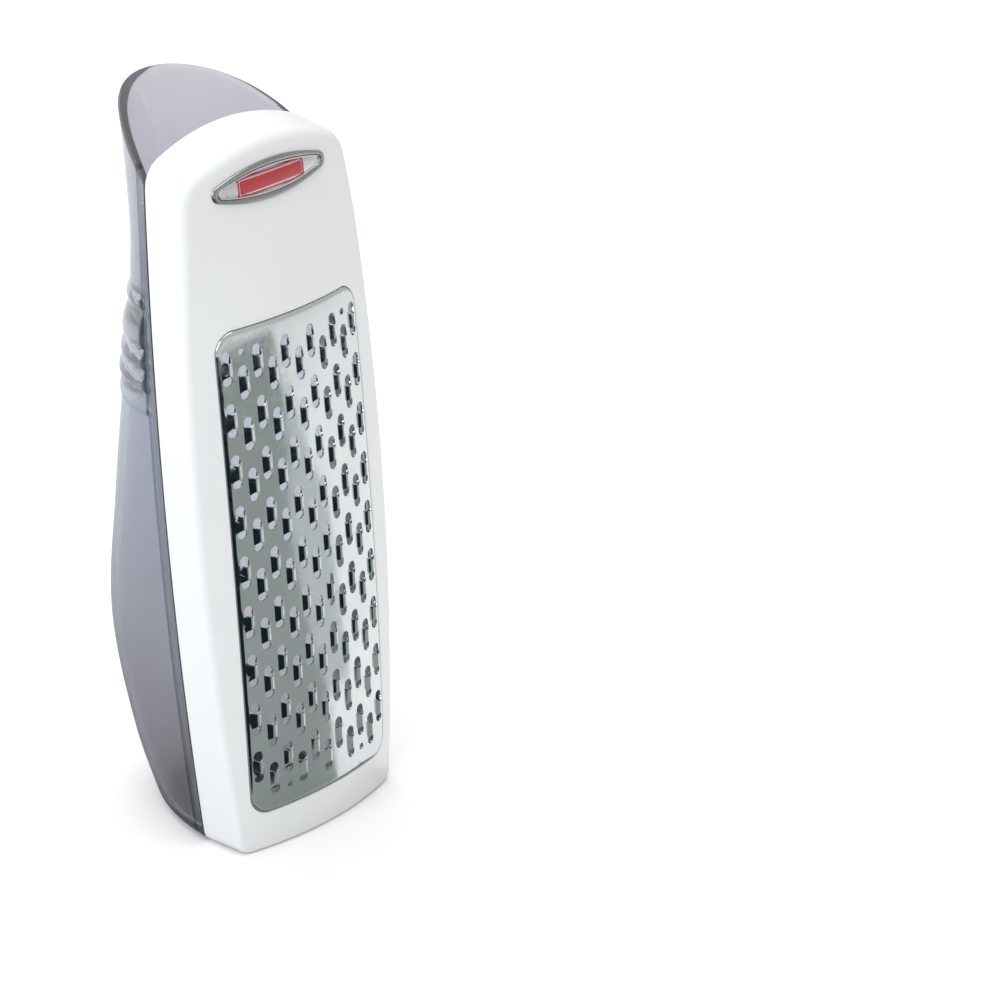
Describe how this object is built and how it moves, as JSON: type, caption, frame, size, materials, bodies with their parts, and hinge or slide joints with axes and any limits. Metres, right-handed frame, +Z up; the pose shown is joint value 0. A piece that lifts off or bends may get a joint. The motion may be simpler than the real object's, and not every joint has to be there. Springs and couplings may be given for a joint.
{
  "type": "hand cheese grater",
  "caption": "Free-standing hand cheese grater: leaning curved steel grating plate in a white housing, with a pull-off smoky collecting container and pouring spout behind.",
  "frame": {"origin": "middle of the whole grater's box, on the surface it stands on", "axes": "+Z up, front with the grating plate towards -Y, container towards +Y, +X to the right as seen from the front"},
  "size_m": [0.0748, 0.0745, 0.2093],
  "materials": {
    "white_plastic": "satin gloss",
    "plate_steel": "polished",
    "inner_plastic": "matt",
    "bezel_metal": "dark satin",
    "insert_metal": "satin",
    "red_panel": "gloss",
    "smoky_plastic": "clear smoky gloss"
  },
  "bodies": {
    "grater": {"front_housing": "white_plastic", "grating_plate": "plate_steel", "plate_retainer": "inner_plastic", "badge_bezel": "bezel_metal", "badge_insert": "insert_metal", "badge_panel": "red_panel"},
    "container": {"container": "smoky_plastic"}
  },
  "joints": [
    {"name": "container_slide", "type": "slide", "parent": "grater", "child": "container", "axis": [0, 1, 0], "range_m": [0, 0.06]}
  ]
}
